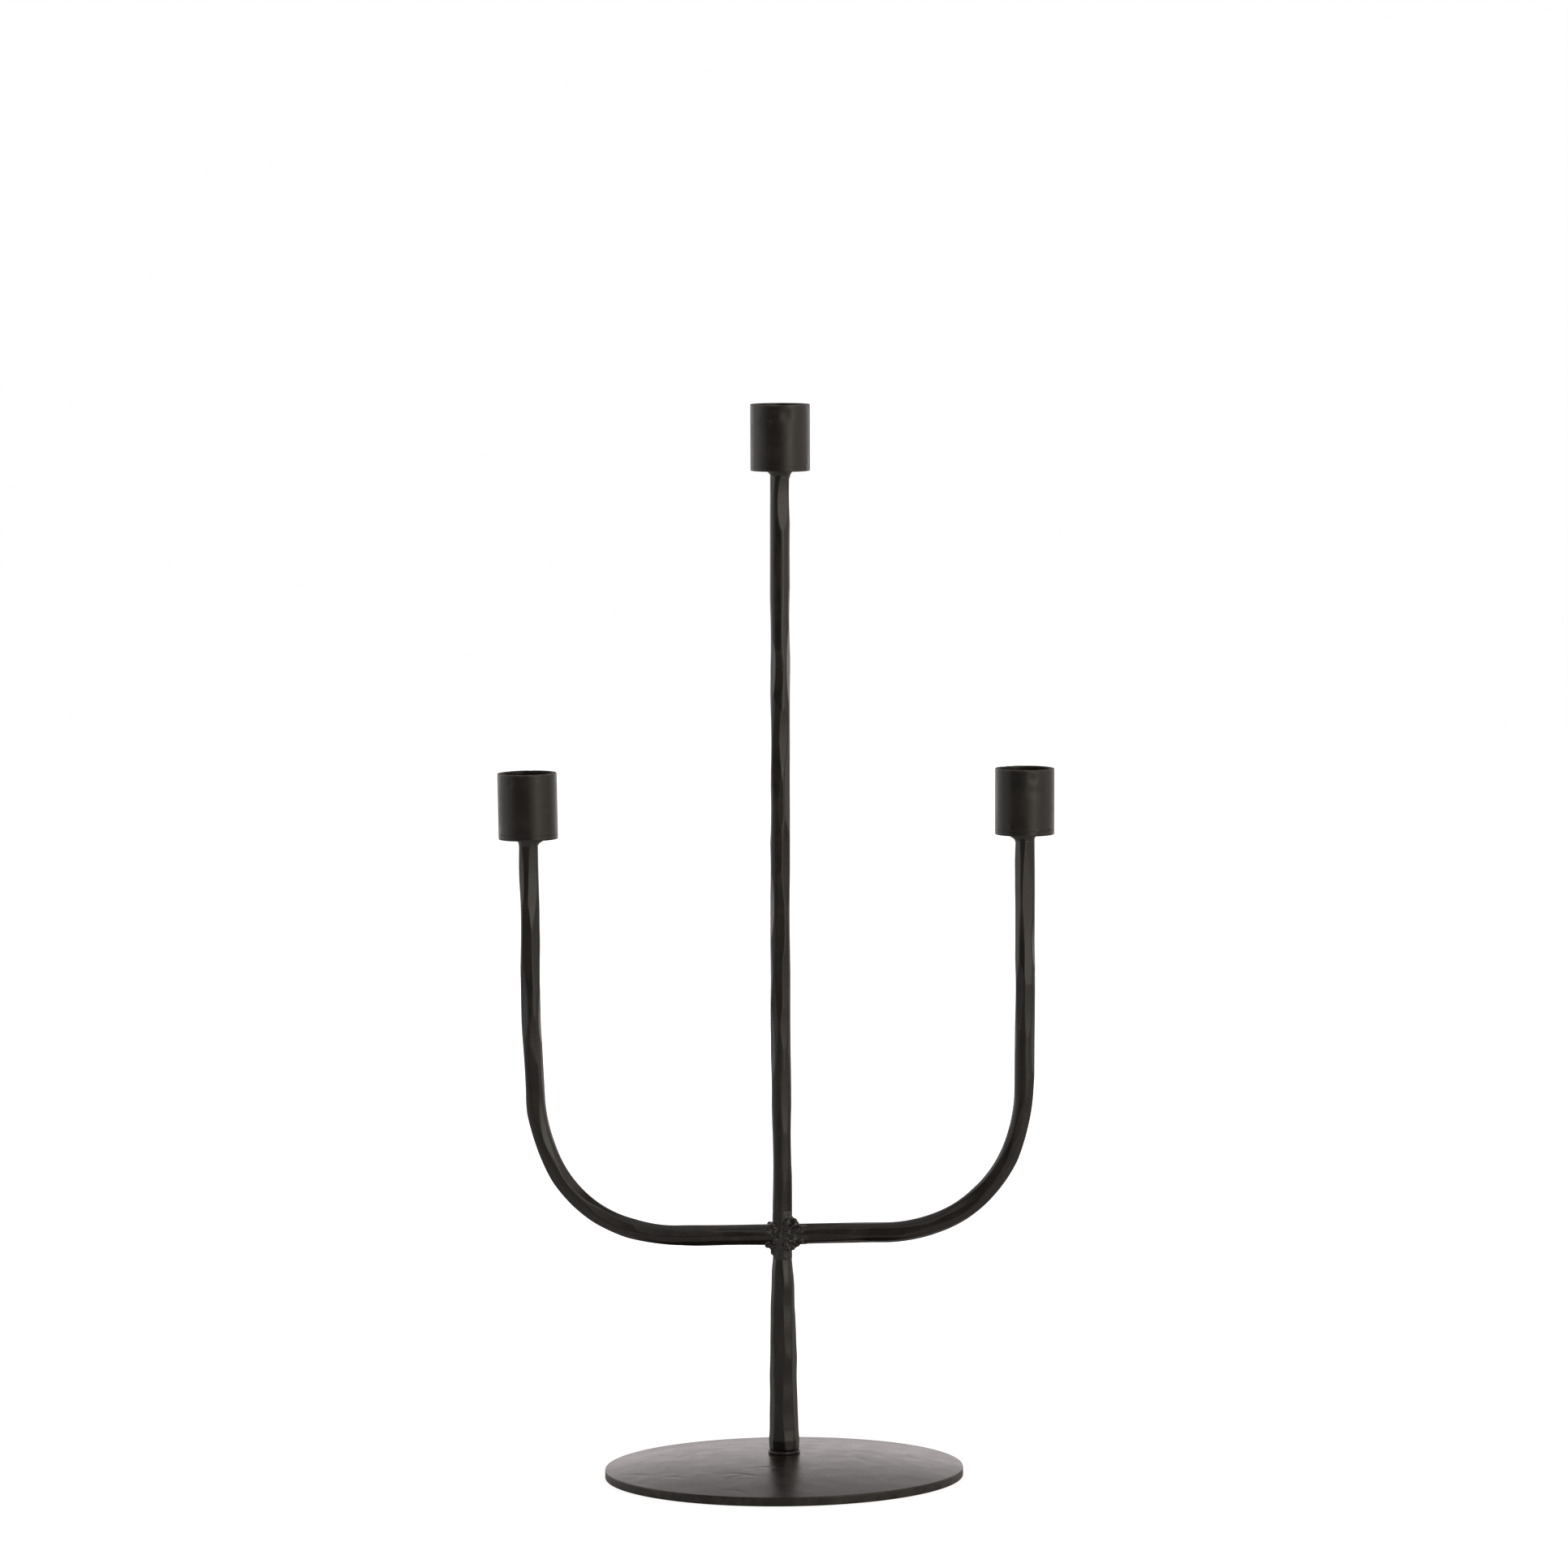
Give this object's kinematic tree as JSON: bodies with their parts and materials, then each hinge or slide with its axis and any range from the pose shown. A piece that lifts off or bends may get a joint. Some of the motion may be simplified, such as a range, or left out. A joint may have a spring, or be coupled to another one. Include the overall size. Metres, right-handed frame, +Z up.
{
  "type": "candelabra",
  "caption": "Forged iron tabletop candelabra: a dished round base, a tapered post and stem, and upswept side arms, each tipped with a plain cylindrical candle cup.",
  "frame": {"origin": "centre of the ring that the base stands on, on the table's surface", "axes": "+Z up along the post, +X towards the right arm as seen from the front, +Y towards the back"},
  "size_m": [0.2436, 0.158, 0.4716],
  "materials": {
    "base_iron": "satin black over hammered plate",
    "bar_iron": "satin black over hammer facets",
    "cup_iron": "satin black over plain tube, with small nicks",
    "weld_iron": "satin black over rough weld",
    "screw_steel": "zinc plated"
  },
  "bodies": {
    "root": {"base_plate": "base_iron", "foot_collar": "base_iron", "lower_post": "bar_iron", "upper_stem": "bar_iron", "arm_left": "bar_iron", "arm_right": "bar_iron", "cross_weld_left": "weld_iron", "cross_weld_right": "weld_iron", "cup_tube_left": "cup_iron", "cup_tube_middle": "cup_iron", "cup_tube_right": "cup_iron", "cup_floor_left": "cup_iron", "cup_floor_middle": "cup_iron", "cup_floor_right": "cup_iron", "cup_weld_left": "weld_iron", "cup_weld_middle": "weld_iron", "cup_weld_right": "weld_iron", "base_screw": "screw_steel", "base_washer": "screw_steel"}
  },
  "joints": []
}
